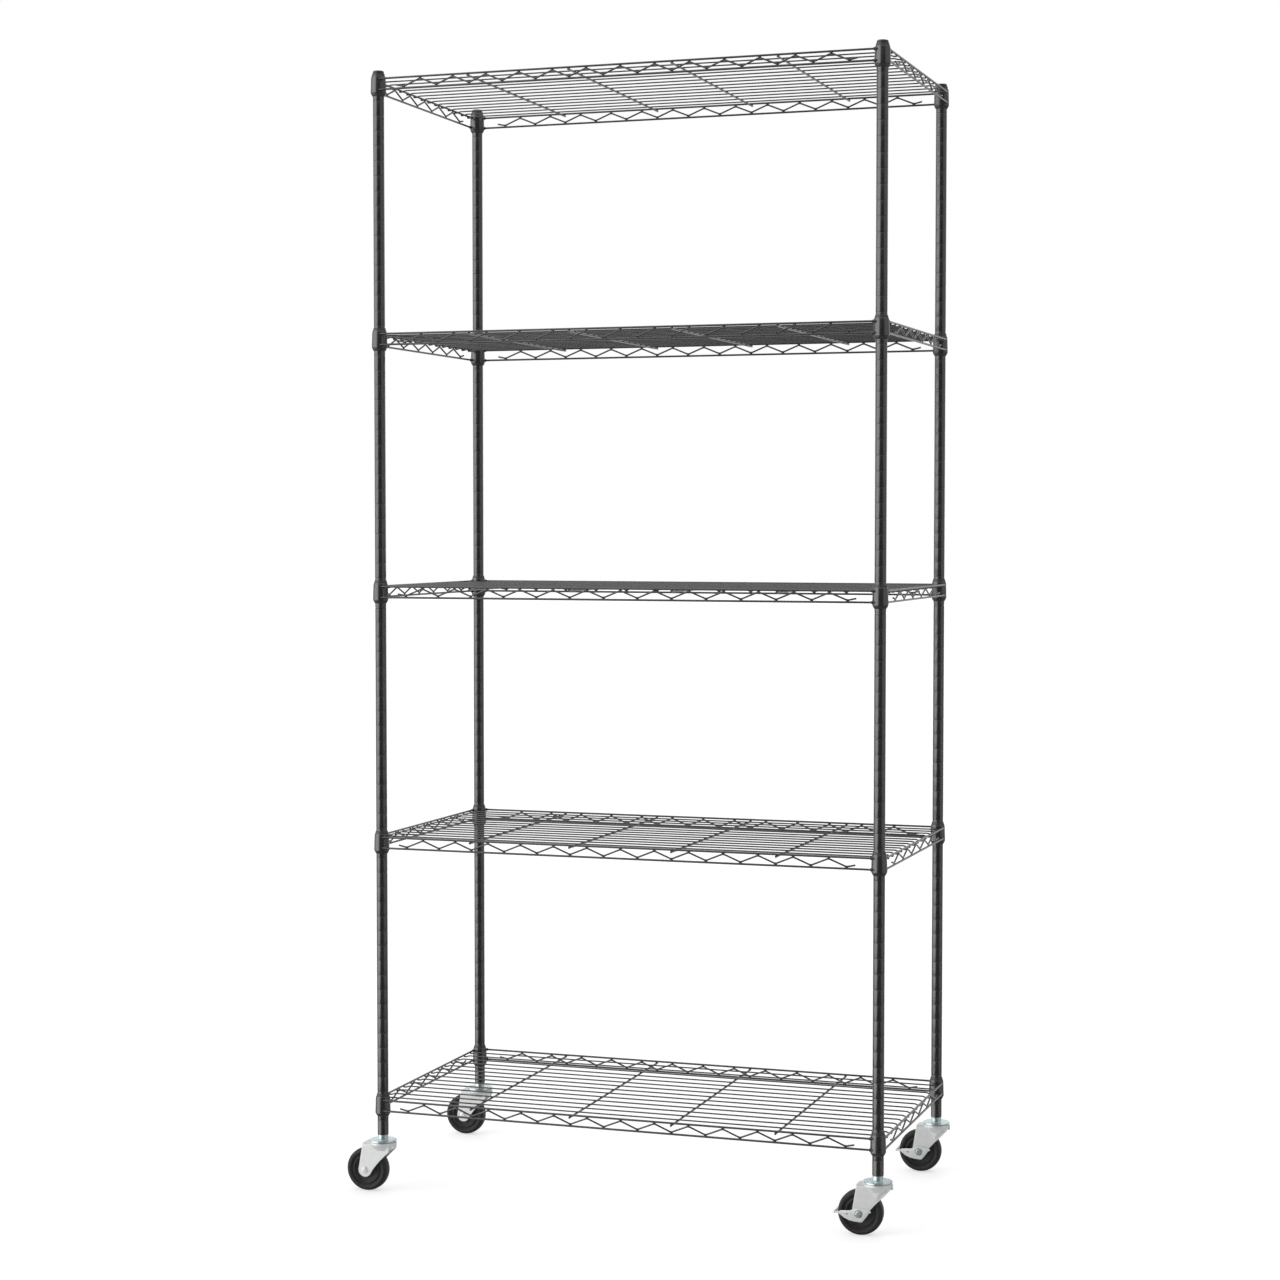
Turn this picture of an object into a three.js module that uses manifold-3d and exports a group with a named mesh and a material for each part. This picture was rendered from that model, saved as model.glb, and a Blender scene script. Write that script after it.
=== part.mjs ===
// A five-tier wire shelving rack on four swivel casters.
// Millimetres, +Z up, +X to the right along the shelves, -Y to the front.
// The origin is on the floor, under the middle of the whole outline.
import * as THREE from 'three';
import { mergeVertices } from 'three/addons/utils/BufferGeometryUtils.js';
import Module from 'manifold-3d';

const wasm = await Module();
wasm.setup();

// Driving dimensions.
const POST_SPACING_X = 880;
const POST_SPACING_Y = 440;
const POST_RADIUS = 9.525;
const POST_WALL = 1.2;
const GROOVE_PITCH = 25.4;
const POST_HEIGHT_IN_GROOVES = 72;
const SHELF_GROOVES = [2, 20, 37, 54, 71];
const CASTER_HEIGHT = 99;
const GAP = 0.3;
const ARC_STEPS = 5;
const ROUND_SIDES = 12;

// Posts: where the sleeve sits above its groove, the joint between halves, and the cap.
const SHELF_ABOVE_GROOVE = 1.6;
const POST_BOTTOM = CASTER_HEIGHT;
const CAP_TOP = POST_BOTTOM + POST_HEIGHT_IN_GROOVES * GROOVE_PITCH;
const POST_JOINT = POST_BOTTOM + (POST_HEIGHT_IN_GROOVES * GROOVE_PITCH) / 2;
const POST_BORE = POST_RADIUS - POST_WALL;
const INSERT_DEPTH = 20;
const INSERT_BORE = 5.3;
const FLANGE_HALF_THICKNESS = 0.7;
const PLUG_RADIUS = 8;
const COUPLING_REACH = 20;
const CAP_HEAD = 4;
const CAP_FLAT_RADIUS = 7;
const CAP_PLUG_DEPTH = 15;

// Shelf wires. Heights are measured from the middle of the corner collars.
const RAIL_THICKNESS = 4;
const RAIL_RISE = 9.2;
const RAIL_OFFSET = 10.5;
const RAIL_END = 5.5;
const DECK_WIRES = 14;
const DECK_THICKNESS = 2.4;
const DECK_BELOW_RAIL = 0.3;
const RIBS = 4;
const RIB_THICKNESS = 3.6;
const RIB_PAST_RAIL = 2.5;
const ZIGZAG_THICKNESS = 3;
const LONG_ZIGZAG = { pitch: 59.7, periods: 13 };
const SHORT_ZIGZAG = { pitch: 64, periods: 5 };
const ZIGZAG_STUB = 0.45;
const WELD_DEPTH = 0.8;

// Corner collars and the tapered split sleeves inside them.
const COLLAR_TOP = 15.2;
const COLLAR_BOTTOM = -14.4;
const COLLAR_RADIUS_TOP = 12.5;
const COLLAR_RADIUS_BOTTOM = 13.3;
const COLLAR_WALL = 1.2;
const SLEEVE_REACH = 19.4;
const SLEEVE_LIP_RADIUS = 10.5;
const SLEEVE_SHOULDER_RADIUS = 12.6;
const SLEEVE_SLIT = 2;

// Casters, measured from the floor under the swivel axis. The wheel trails towards -X.
const WHEEL_RADIUS = 37.5;
const WHEEL_SIDES = 20;
const TREAD_HALF_WIDTH = 10.5;
const HUB_HALF_WIDTH = 12.5;
const HUB_RADIUS = 11;
const CASTER_TRAIL = 28;
const AXLE_RADIUS = 4;
const AXLE_CLEARANCE = 0.4;
const AXLE_HEAD_RADIUS = 7;
const AXLE_HEAD_THICKNESS = 3;
const FORK_PLATE_TOP = 87.4;
const FORK_CROWN_TOP = 85.4;
const FORK_THICKNESS = 2.5;
const FORK_FRONT = 25;
const FORK_REAR = 33;
const FORK_HALF_WIDTH = 15.5;
const FORK_EDGE_DROP = 5;
const FORK_LEG_FRONT = 17;
const FORK_WAIST = { x: -10, z: 47 };
const FORK_DISC_RADIUS = 23.4;
const FORK_DISC_SIDES = 24;
const FORK_RIM_DROP = 5;
const FORK_SKIRT_RADIUS = 18.5;
const FORK_SKIRT_BOTTOM = 74;
const FORK_TAB_WIDTH = 5;
const FORK_TAB_DROP = 10;
const FORK_END_RADIUS = 12;
const KING_PIN_RADIUS = 5;
const KING_PIN_HEAD_RADIUS = 8;
const KING_PIN_HEAD = 3;
const CUP_RADIUS = 24;
const CUP_RIM = 2.6;
const CUP_SHOULDER_RADIUS = 22;
const CUP_TOP = 91.2;
const STEM_NUT_RADIUS = 9;
const STEM_RADIUS = 4.8;
const STEM_REACH = 23;

// Brake pedal: side plates outside the fork and a foot bar behind the tread.
const PEDAL_THICKNESS = 2;
const PEDAL_REACH = 42;
const PEDAL_BAR = 3;
const PEDAL_LOBE = 13;
const PEDAL_TOP = 9;
const PEDAL_LUG = 20;

// The wheels trail to the left, so the rack stands right of the middle of the outline.
const RACK_X = (CASTER_TRAIL + WHEEL_RADIUS - FORK_FRONT) / 2;

const MATERIALS = {
  powder_coat: { color: 0x1c1c1e, roughness: 0.38, metalness: 0.5 },
  black_plastic: { color: 0x161617, roughness: 0.5, metalness: 0 },
  zinc: { color: 0xc6cbcd, roughness: 0.3, metalness: 0.9 },
  wheel_rubber: { color: 0x232324, roughness: 0.6, metalness: 0 },
};

const CORNERS = [
  { name: 'front_left', x: -1, y: -1, braked: false },
  { name: 'back_left', x: -1, y: 1, braked: false },
  { name: 'front_right', x: 1, y: -1, braked: true },
  { name: 'back_right', x: 1, y: 1, braked: true },
].map((corner) => ({
  ...corner,
  x: (corner.x * POST_SPACING_X) / 2,
  y: (corner.y * POST_SPACING_Y) / 2,
}));

// ---- solids ----

// A closed geometry as a solid that can be joined and cut.
function toSolid(geometry) {
  const bare = geometry.clone();
  bare.deleteAttribute('normal');
  bare.deleteAttribute('uv');
  const merged = mergeVertices(bare, 1e-4);
  const index = merged.index.array;
  const corners = [];
  for (let i = 0; i < index.length; i += 3) {
    const [a, b, c] = [index[i], index[i + 1], index[i + 2]];
    if (a !== b && b !== c && c !== a) corners.push(a, b, c);
  }
  return new wasm.Manifold(
    new wasm.Mesh({
      numProp: 3,
      vertProperties: Float32Array.from(merged.attributes.position.array),
      triVerts: Uint32Array.from(corners),
    }),
  );
}

function toGeometry(solid) {
  const mesh = solid.getMesh();
  const geometry = new THREE.BufferGeometry();
  geometry.setAttribute('position', new THREE.BufferAttribute(mesh.vertProperties, 3));
  geometry.setIndex(new THREE.BufferAttribute(mesh.triVerts, 1));
  geometry.computeVertexNormals();
  return geometry;
}

function joined(geometries) {
  const solids = geometries.map(toSolid);
  return solids.reduce((whole, solid) => whole.add(solid));
}

function cut(solid, geometries) {
  return geometries.map(toSolid).reduce((whole, tool) => whole.subtract(tool), solid);
}

function box(low, high) {
  const size = high.map((value, i) => value - low[i]);
  const centre = high.map((value, i) => (value + low[i]) / 2);
  return new THREE.BoxGeometry(...size).translate(...centre);
}

// A solid of revolution about Z. The profile is [radius, height] points, counter-clockwise.
function turned(profile, sides = ROUND_SIDES) {
  const points = profile.map(([radius, height]) => new THREE.Vector2(radius, height));
  return new THREE.LatheGeometry(points, sides).rotateX(Math.PI / 2);
}

// The same for a ring, whose profile closes on itself.
function turnedRing(profile, sides = ROUND_SIDES) {
  return turned([...profile, profile[0]], sides);
}

// A plate drawn in the XZ plane and centred on y = 0.
function plateXZ(shape, width) {
  const settings = { depth: width, bevelEnabled: false, curveSegments: ARC_STEPS };
  return new THREE.ExtrudeGeometry(shape, settings).rotateX(Math.PI / 2).translate(0, width / 2, 0);
}

function pinAlongY(radius, halfLength, x, z) {
  return new THREE.CylinderGeometry(radius, radius, 2 * halfLength, ROUND_SIDES).translate(x, 0, z);
}

// ---- posts ----

function postLower() {
  const top = POST_JOINT - POST_BOTTOM - FLANGE_HALF_THICKNESS - GAP;
  return turnedRing([
    [POST_RADIUS, 0],
    [POST_RADIUS, top],
    [POST_BORE, top],
    [POST_BORE, INSERT_DEPTH],
    [INSERT_BORE, INSERT_DEPTH],
    [INSERT_BORE, 0],
  ]);
}

function postUpper() {
  const top = CAP_TOP - CAP_HEAD - GAP - POST_JOINT;
  const bottom = FLANGE_HALF_THICKNESS + GAP;
  return turnedRing([
    [POST_RADIUS, bottom],
    [POST_RADIUS, top],
    [POST_BORE, top],
    [POST_BORE, bottom],
  ]);
}

function postCoupling() {
  return turned([
    [0, -COUPLING_REACH],
    [PLUG_RADIUS, -COUPLING_REACH],
    [PLUG_RADIUS, -FLANGE_HALF_THICKNESS],
    [POST_RADIUS, -FLANGE_HALF_THICKNESS],
    [POST_RADIUS, FLANGE_HALF_THICKNESS],
    [PLUG_RADIUS, FLANGE_HALF_THICKNESS],
    [PLUG_RADIUS, COUPLING_REACH],
    [0, COUPLING_REACH],
  ]);
}

function postCap() {
  return turned([
    [0, -CAP_HEAD - CAP_PLUG_DEPTH],
    [PLUG_RADIUS, -CAP_HEAD - CAP_PLUG_DEPTH],
    [PLUG_RADIUS, -CAP_HEAD],
    [POST_RADIUS, -CAP_HEAD],
    [POST_RADIUS, -CAP_HEAD / 3],
    [CAP_FLAT_RADIUS, 0],
    [0, 0],
  ]);
}

// ---- shelves ----

// The collar's taper: its outer radius at a height.
function collarRadius(height) {
  const slope = (COLLAR_RADIUS_TOP - COLLAR_RADIUS_BOTTOM) / (COLLAR_TOP - COLLAR_BOTTOM);
  return COLLAR_RADIUS_BOTTOM + slope * (height - COLLAR_BOTTOM);
}

// A full cone with the collar's taper, this far inside its outer surface.
function collarCone(inset, bottom, top) {
  return turned([
    [0, bottom],
    [collarRadius(bottom) - inset, bottom],
    [collarRadius(top) - inset, top],
    [0, top],
  ]);
}

// A sleeve with one slit. Its outside has the collar's taper, with a shoulder under the collar.
function sleeve() {
  const fit = COLLAR_WALL + GAP;
  const shoulder = COLLAR_BOTTOM - GAP;
  const inside = POST_RADIUS + GAP;
  const ring = turnedRing([
    [SLEEVE_LIP_RADIUS, -SLEEVE_REACH],
    [SLEEVE_SHOULDER_RADIUS, shoulder],
    [collarRadius(shoulder) - fit, shoulder],
    [collarRadius(COLLAR_TOP) - fit, COLLAR_TOP],
    [SLEEVE_LIP_RADIUS, SLEEVE_REACH],
    [inside, SLEEVE_REACH],
    [inside, -SLEEVE_REACH],
  ]);
  const halfSlit = SLEEVE_SLIT / 2;
  const past = SLEEVE_REACH + 1;
  const slit = box([0, -halfSlit, -past], [2 * POST_RADIUS, halfSlit, past]);
  return toGeometry(cut(toSolid(ring), [slit]));
}

// A zigzag wire in the XZ plane between a top and a bottom rail. It clears the rails all the way,
// but its first and last bottom bends sink into the bottom rail, where they are welded.
function zigzag({ pitch, periods }) {
  const clearHeight = RAIL_RISE - RAIL_THICKNESS / 2 - GAP;
  const halfPitch = pitch / 2;
  const slope = Math.atan2(2 * clearHeight - ZIGZAG_THICKNESS, halfPitch);
  const halfDepth = ZIGZAG_THICKNESS / 2 / Math.cos(slope);
  const bend = clearHeight - halfDepth;
  const start = -periods * halfPitch;
  const middle = [[start - ZIGZAG_STUB * halfPitch, bend * (2 * ZIGZAG_STUB - 1)]];
  for (let i = 0; i <= 2 * periods; i += 1) {
    const welded = i === 0 || i === 2 * periods;
    const height = i % 2 === 0 ? -bend : bend;
    middle.push([start + i * halfPitch, welded ? height - WELD_DEPTH : height]);
  }
  middle.push([-middle[0][0], middle[0][1]]);
  const under = middle.map(([x, z]) => new THREE.Vector2(x, z - halfDepth));
  const over = middle.map(([x, z]) => new THREE.Vector2(x, z + halfDepth)).reverse();
  return plateXZ(new THREE.Shape([...under, ...over]), ZIGZAG_THICKNESS);
}

// One welded shelf: corner collars, rails, zigzag wires, cross ribs and deck wires. The rails run
// into the sides of the collars, so the collars are bored after they are joined.
function shelf() {
  const half = RAIL_THICKNESS / 2;
  const railX = POST_SPACING_X / 2 + RAIL_OFFSET;
  const railY = POST_SPACING_Y / 2 + RAIL_OFFSET;
  const endX = POST_SPACING_X / 2 - RAIL_END;
  const endY = POST_SPACING_Y / 2 - RAIL_END;
  const deckTop = RAIL_RISE + half - DECK_BELOW_RAIL;
  const ribTop = deckTop - DECK_THICKNESS - GAP;
  const atCorners = (makeSolid) => CORNERS.map(({ x, y }) => makeSolid().translate(x, y, 0));
  const pieces = atCorners(() => collarCone(0, COLLAR_BOTTOM, COLLAR_TOP));
  for (const side of [-1, 1]) {
    for (const height of [-RAIL_RISE, RAIL_RISE]) {
      const [low, high] = [height - half, height + half];
      pieces.push(box([-endX, side * railY - half, low], [endX, side * railY + half, high]));
      pieces.push(box([side * railX - half, -endY, low], [side * railX + half, endY, high]));
    }
    pieces.push(zigzag(LONG_ZIGZAG).translate(0, side * railY, 0));
    pieces.push(zigzag(SHORT_ZIGZAG).rotateZ(Math.PI / 2).translate(side * railX, 0, 0));
  }
  for (let i = 1; i <= RIBS; i += 1) {
    const x = -railX + (2 * railX * i) / (RIBS + 1);
    const reach = railY + half + RIB_PAST_RAIL;
    const halfRib = RIB_THICKNESS / 2;
    pieces.push(box([x - halfRib, -reach, ribTop - RIB_THICKNESS], [x + halfRib, reach, ribTop]));
  }
  for (let i = 1; i <= DECK_WIRES; i += 1) {
    const y = -railY + (2 * railY * i) / (DECK_WIRES + 1);
    const halfWire = DECK_THICKNESS / 2;
    pieces.push(box([-railX, y - halfWire, deckTop - DECK_THICKNESS], [railX, y + halfWire, deckTop]));
  }
  const bores = atCorners(() => collarCone(COLLAR_WALL, COLLAR_BOTTOM - 1, COLLAR_TOP + 1));
  return toGeometry(cut(joined(pieces), bores));
}

// ---- casters ----

// The parts riveted to the post: threaded stem, collar nut, bearing cup and king pin.
function casterStem() {
  const headBottom = FORK_CROWN_TOP - FORK_THICKNESS - GAP - KING_PIN_HEAD;
  const nutTop = POST_BOTTOM - GAP;
  return turned([
    [0, headBottom],
    [KING_PIN_HEAD_RADIUS, headBottom],
    [KING_PIN_HEAD_RADIUS, headBottom + KING_PIN_HEAD],
    [KING_PIN_RADIUS, headBottom + KING_PIN_HEAD],
    [KING_PIN_RADIUS, FORK_PLATE_TOP + GAP],
    [CUP_RADIUS, FORK_PLATE_TOP + GAP],
    [CUP_RADIUS, FORK_PLATE_TOP + CUP_RIM],
    [CUP_SHOULDER_RADIUS, CUP_TOP],
    [STEM_NUT_RADIUS, CUP_TOP],
    [STEM_NUT_RADIUS, nutTop],
    [STEM_RADIUS, nutTop],
    [STEM_RADIUS, POST_BOTTOM + STEM_REACH],
    [0, POST_BOTTOM + STEM_REACH],
  ]);
}

// The angle on the round end of a fork leg where a straight edge from (x, z) meets it.
function tangentAngle(x, z, side) {
  const distance = Math.hypot(x + CASTER_TRAIL, z - WHEEL_RADIUS);
  const direction = Math.atan2(z - WHEEL_RADIUS, x + CASTER_TRAIL);
  return direction + side * Math.acos(FORK_END_RADIUS / distance);
}

// An inverted U over the wheel. Its top is drawn up into a disc with a turned-down rim, a skirt that
// narrows downwards and a front tab. The legs' front edges curve in between the skirt and the axle.
function casterFork() {
  const legFoot = FORK_SKIRT_BOTTOM - FORK_THICKNESS;
  const rearEdge = FORK_CROWN_TOP - FORK_EDGE_DROP;
  const outline = new THREE.Shape();
  outline.moveTo(FORK_LEG_FRONT, FORK_CROWN_TOP);
  outline.lineTo(-FORK_REAR, FORK_CROWN_TOP);
  outline.lineTo(-FORK_REAR, rearEdge);
  const rear = tangentAngle(-FORK_REAR, rearEdge, 1);
  const front = tangentAngle(FORK_WAIST.x, FORK_WAIST.z, -1) + 2 * Math.PI;
  outline.absarc(-CASTER_TRAIL, WHEEL_RADIUS, FORK_END_RADIUS, rear, front, false);
  outline.quadraticCurveTo(FORK_WAIST.x, FORK_WAIST.z, FORK_LEG_FRONT, legFoot);
  const inside = FORK_HALF_WIDTH - FORK_THICKNESS;
  const far = 2 * WHEEL_RADIUS;
  const betweenLegs = box([-far, -inside, 0], [far, inside, FORK_CROWN_TOP - FORK_THICKNESS]);
  const legs = cut(toSolid(plateXZ(outline, 2 * FORK_HALF_WIDTH)), [betweenLegs]);
  const rimInside = FORK_DISC_RADIUS - FORK_THICKNESS;
  const skirtInside = FORK_SKIRT_RADIUS - FORK_THICKNESS;
  const ceiling = FORK_PLATE_TOP - FORK_THICKNESS;
  const rimBottom = FORK_PLATE_TOP - FORK_RIM_DROP;
  const disc = turned([
    [0, ceiling],
    [rimInside, ceiling],
    [rimInside, rimBottom],
    [skirtInside, FORK_SKIRT_BOTTOM],
    [FORK_SKIRT_RADIUS, FORK_SKIRT_BOTTOM],
    [FORK_DISC_RADIUS, rimBottom],
    [FORK_DISC_RADIUS, FORK_PLATE_TOP],
    [0, FORK_PLATE_TOP],
  ], FORK_DISC_SIDES);
  const overWheel = box([-far, -inside - GAP, 0], [0, inside + GAP, ceiling - 2 * GAP]);
  const tab = box(
    [rimInside + GAP, -FORK_TAB_WIDTH / 2, FORK_PLATE_TOP - FORK_TAB_DROP],
    [FORK_FRONT, FORK_TAB_WIDTH / 2, FORK_PLATE_TOP - GAP],
  );
  const kingPinHole = turned([
    [0, 0],
    [KING_PIN_RADIUS + AXLE_CLEARANCE, 0],
    [KING_PIN_RADIUS + AXLE_CLEARANCE, CASTER_HEIGHT],
    [0, CASTER_HEIGHT],
  ]);
  const axleHole = pinAlongY(AXLE_RADIUS + AXLE_CLEARANCE, WHEEL_RADIUS, -CASTER_TRAIL, WHEEL_RADIUS);
  const body = legs.add(cut(toSolid(disc), [overWheel])).add(toSolid(tab));
  return toGeometry(cut(body, [kingPinHole, axleHole]));
}

// The wheel turns about Y. Half a side of turn puts a flat of the tread on the floor.
function casterWheel() {
  const radius = WHEEL_RADIUS / Math.cos(Math.PI / WHEEL_SIDES);
  const bore = AXLE_RADIUS + AXLE_CLEARANCE;
  const profile = [
    [bore, -HUB_HALF_WIDTH],
    [HUB_RADIUS, -HUB_HALF_WIDTH],
    [HUB_RADIUS, -TREAD_HALF_WIDTH],
    [radius, -TREAD_HALF_WIDTH],
    [radius, TREAD_HALF_WIDTH],
    [HUB_RADIUS, TREAD_HALF_WIDTH],
    [HUB_RADIUS, HUB_HALF_WIDTH],
    [bore, HUB_HALF_WIDTH],
  ];
  return turnedRing(profile, WHEEL_SIDES).rotateX(-Math.PI / 2).rotateY(Math.PI / WHEEL_SIDES);
}

// The axle bolt and its nut clamp the fork legs, and the pedal plates where there is a brake.
function casterAxle(braked) {
  const clamped = FORK_HALF_WIDTH + GAP + (braked ? PEDAL_THICKNESS + GAP : 0);
  const end = clamped + AXLE_HEAD_THICKNESS;
  const profile = [
    [0, -end],
    [AXLE_HEAD_RADIUS, -end],
    [AXLE_HEAD_RADIUS, -clamped],
    [AXLE_RADIUS, -clamped],
    [AXLE_RADIUS, clamped],
    [AXLE_HEAD_RADIUS, clamped],
    [AXLE_HEAD_RADIUS, end],
    [0, end],
  ];
  return turned(profile).rotateX(-Math.PI / 2);
}

// Two side plates on the axle and the foot bar that joins them behind the tread. Each plate widens
// from the bar into a lobe round the axle, with a lug at its front.
function brakePedal() {
  const outline = new THREE.Shape();
  outline.moveTo(-PEDAL_REACH, PEDAL_BAR / 2);
  outline.lineTo(-PEDAL_REACH, -PEDAL_BAR / 2);
  outline.lineTo(-0.65 * PEDAL_REACH, -PEDAL_LOBE / 3);
  outline.lineTo(-0.38 * PEDAL_REACH, -0.8 * PEDAL_LOBE);
  outline.lineTo(0, -PEDAL_LOBE);
  outline.lineTo(PEDAL_LOBE / 2, -PEDAL_LOBE);
  outline.lineTo(PEDAL_LUG, PEDAL_BAR);
  outline.lineTo(PEDAL_LUG - PEDAL_BAR, 2.5 * PEDAL_BAR);
  outline.lineTo(0, PEDAL_TOP);
  outline.lineTo(-PEDAL_LOBE, 0.7 * PEDAL_TOP);
  outline.lineTo(-0.65 * PEDAL_REACH, PEDAL_BAR);
  const inside = FORK_HALF_WIDTH + GAP;
  const far = CASTER_HEIGHT;
  const hollow = box([-PEDAL_REACH + PEDAL_BAR, -inside, -far], [far, inside, far]);
  const axleHole = pinAlongY(AXLE_RADIUS + AXLE_CLEARANCE, WHEEL_RADIUS, 0, 0);
  const block = toSolid(plateXZ(outline, 2 * (inside + PEDAL_THICKNESS)));
  return toGeometry(cut(block, [hollow, axleHole]));
}

// ---- assembly ----

const rack = new THREE.Group();
rack.position.x = RACK_X;

function place(name, geometry, materialName, position) {
  const mesh = new THREE.Mesh(geometry, new THREE.MeshStandardMaterial(MATERIALS[materialName]));
  mesh.name = name;
  mesh.position.set(...position);
  rack.add(mesh);
}

const shapes = {
  postLower: postLower(),
  postUpper: postUpper(),
  postCoupling: postCoupling(),
  postCap: postCap(),
  shelf: shelf(),
  sleeve: sleeve(),
  casterStem: casterStem(),
  casterFork: casterFork(),
  casterWheel: casterWheel(),
  plainAxle: casterAxle(false),
  brakedAxle: casterAxle(true),
  brakePedal: brakePedal(),
};

const shelfHeights = SHELF_GROOVES.map((groove) => POST_BOTTOM + groove * GROOVE_PITCH + SHELF_ABOVE_GROOVE);

shelfHeights.forEach((height, i) => place(`shelf_${i + 1}`, shapes.shelf, 'powder_coat', [0, 0, height]));

for (const { name, x, y, braked } of CORNERS) {
  const axle = [x - CASTER_TRAIL, y, WHEEL_RADIUS];
  place(`post_lower_${name}`, shapes.postLower, 'powder_coat', [x, y, POST_BOTTOM]);
  place(`post_upper_${name}`, shapes.postUpper, 'powder_coat', [x, y, POST_JOINT]);
  place(`post_coupling_${name}`, shapes.postCoupling, 'zinc', [x, y, POST_JOINT]);
  place(`post_cap_${name}`, shapes.postCap, 'black_plastic', [x, y, CAP_TOP]);
  shelfHeights.forEach((height, i) => {
    place(`sleeve_${i + 1}_${name}`, shapes.sleeve, 'black_plastic', [x, y, height]);
  });
  place(`caster_stem_${name}`, shapes.casterStem, 'zinc', [x, y, 0]);
  place(`caster_fork_${name}`, shapes.casterFork, 'zinc', [x, y, 0]);
  place(`caster_wheel_${name}`, shapes.casterWheel, 'wheel_rubber', axle);
  place(`caster_axle_${name}`, braked ? shapes.brakedAxle : shapes.plainAxle, 'zinc', axle);
  if (braked) {
    place(`brake_pedal_${name}`, shapes.brakePedal, 'zinc', axle);
  }
}

export default rack;
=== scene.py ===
"""Looks for a five-tier wire shelving rack on swivel casters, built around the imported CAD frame."""

import math

import bmesh
import bpy
from mathutils import Matrix, Vector


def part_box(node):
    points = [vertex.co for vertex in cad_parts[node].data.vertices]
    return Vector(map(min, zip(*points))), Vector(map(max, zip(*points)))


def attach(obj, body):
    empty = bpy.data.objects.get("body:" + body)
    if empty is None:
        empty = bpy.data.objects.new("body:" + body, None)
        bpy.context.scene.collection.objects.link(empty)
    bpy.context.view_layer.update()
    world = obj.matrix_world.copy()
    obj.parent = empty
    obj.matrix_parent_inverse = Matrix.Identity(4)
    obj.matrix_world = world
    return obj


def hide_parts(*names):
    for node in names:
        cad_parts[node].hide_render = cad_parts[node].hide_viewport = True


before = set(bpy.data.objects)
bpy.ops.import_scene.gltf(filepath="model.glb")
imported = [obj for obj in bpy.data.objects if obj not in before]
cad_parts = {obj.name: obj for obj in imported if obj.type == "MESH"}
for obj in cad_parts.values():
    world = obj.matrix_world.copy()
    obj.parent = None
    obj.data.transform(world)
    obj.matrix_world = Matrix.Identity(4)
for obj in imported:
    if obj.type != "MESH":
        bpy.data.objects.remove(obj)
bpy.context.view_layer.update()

# Sizes are in millimetres, as the CAD's are, and become metres where a mesh is made.
MM = 0.001
SHELF_COUNT = 5
CORNERS = ("front_left", "back_left", "front_right", "back_right")
BRAKED = ("front_right", "back_right")

# Posts
POST_RADIUS = 9.525
POST_BORE = 8.3
GROOVE_PITCH = 25.4
GROOVE_DEPTH = 0.25
GROOVE_HALF_WIDTH = 0.7
FLANGE_HALF = 0.7

# Shelf wires, as heights from the middle of the corner collars
RAIL_RADIUS = 2.15
RAIL_RISE = 9.2
RAIL_OFFSET = 10.5
RAIL_END = 5.0
RIB_RADIUS = 1.8
DECK_RADIUS = 1.25
ZIGZAG_RADIUS = 1.5
DECK_WIRES = 14
RIBS = 4
LONG_PITCH, LONG_PERIODS = 59.7, 13
SHORT_PITCH, SHORT_PERIODS = 64.0, 5

# Corner collars and sleeves
COLLAR_TOP = 15.2
COLLAR_BOTTOM = -14.4
COLLAR_RADIUS_TOP = 12.5
COLLAR_RADIUS_BOTTOM = 13.3
SLEEVE_REACH = 19.4
SLEEVE_SLIT = 0.9

# Casters, from the floor under the swivel axis
WHEEL_RADIUS = 37.5
TRAIL = 28.0
FORK_TOP = 87.4
FORK_CROWN_TOP = 85.4
FORK_THICKNESS = 2.4
FORK_FRONT = 25.0
FORK_REAR = 33.0
FORK_HALF_WIDTH = 15.5
FORK_END_RADIUS = 12.0
FORK_LEG_FRONT = 17.0
FORK_WAIST_X = -10.0
FORK_WAIST_Z = 47.0
FORK_DISC_RADIUS = 23.4
FORK_RIM_BOTTOM = 82.4
FORK_SKIRT_RADIUS = 18.5
FORK_SKIRT_BOTTOM = 74.0
KING_PIN_HOLE = 5.6
GUSSET_TIP = (3.0, 62.0)
GUSSET_SPREAD = 0.85
GUSSET_BLEND = 5.0
GUSSET_FLARE = 2.6
AXLE_HOLE = 4.3


# ---- mesh helpers ----

class Shells:
    """Closed shells in millimetres, gathered into one mesh."""

    def __init__(self):
        self.verts = []
        self.faces = []

    def add(self, shell, matrix=None):
        verts, faces = shell
        start = len(self.verts)
        placed = [matrix @ Vector(v) for v in verts] if matrix else verts
        self.verts.extend(tuple(v) for v in placed)
        self.faces.extend(tuple(start + i for i in face) for face in faces)
        return self

    def mesh(self, name, sharp_degrees=38):
        mesh = bpy.data.meshes.new(name)
        mesh.from_pydata([tuple(c * MM for c in v) for v in self.verts], [], self.faces)
        mesh.validate()
        mesh.shade_smooth()
        mesh.set_sharp_from_angle(angle=math.radians(sharp_degrees))
        return mesh


def lathe(profile, sides, ring=False):
    """A solid turned about Z from [radius, height] points that run counter-clockwise."""
    points = list(profile)
    verts, rows = [], []
    for radius, height in points:
        if radius < 1e-6:
            rows.append([len(verts)] * sides)
            verts.append((0.0, 0.0, height))
            continue
        rows.append(list(range(len(verts), len(verts) + sides)))
        for i in range(sides):
            angle = 2 * math.pi * i / sides
            verts.append((radius * math.cos(angle), radius * math.sin(angle), height))
    pairs = list(zip(rows, rows[1:]))
    if ring:
        pairs.append((rows[-1], rows[0]))
    faces = []
    for low, high in pairs:
        for i in range(sides):
            j = (i + 1) % sides
            face = (low[i], low[j], high[j], high[i])
            unique = tuple(dict.fromkeys(face))
            if len(unique) > 2:
                faces.append(unique)
    return verts, faces


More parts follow.
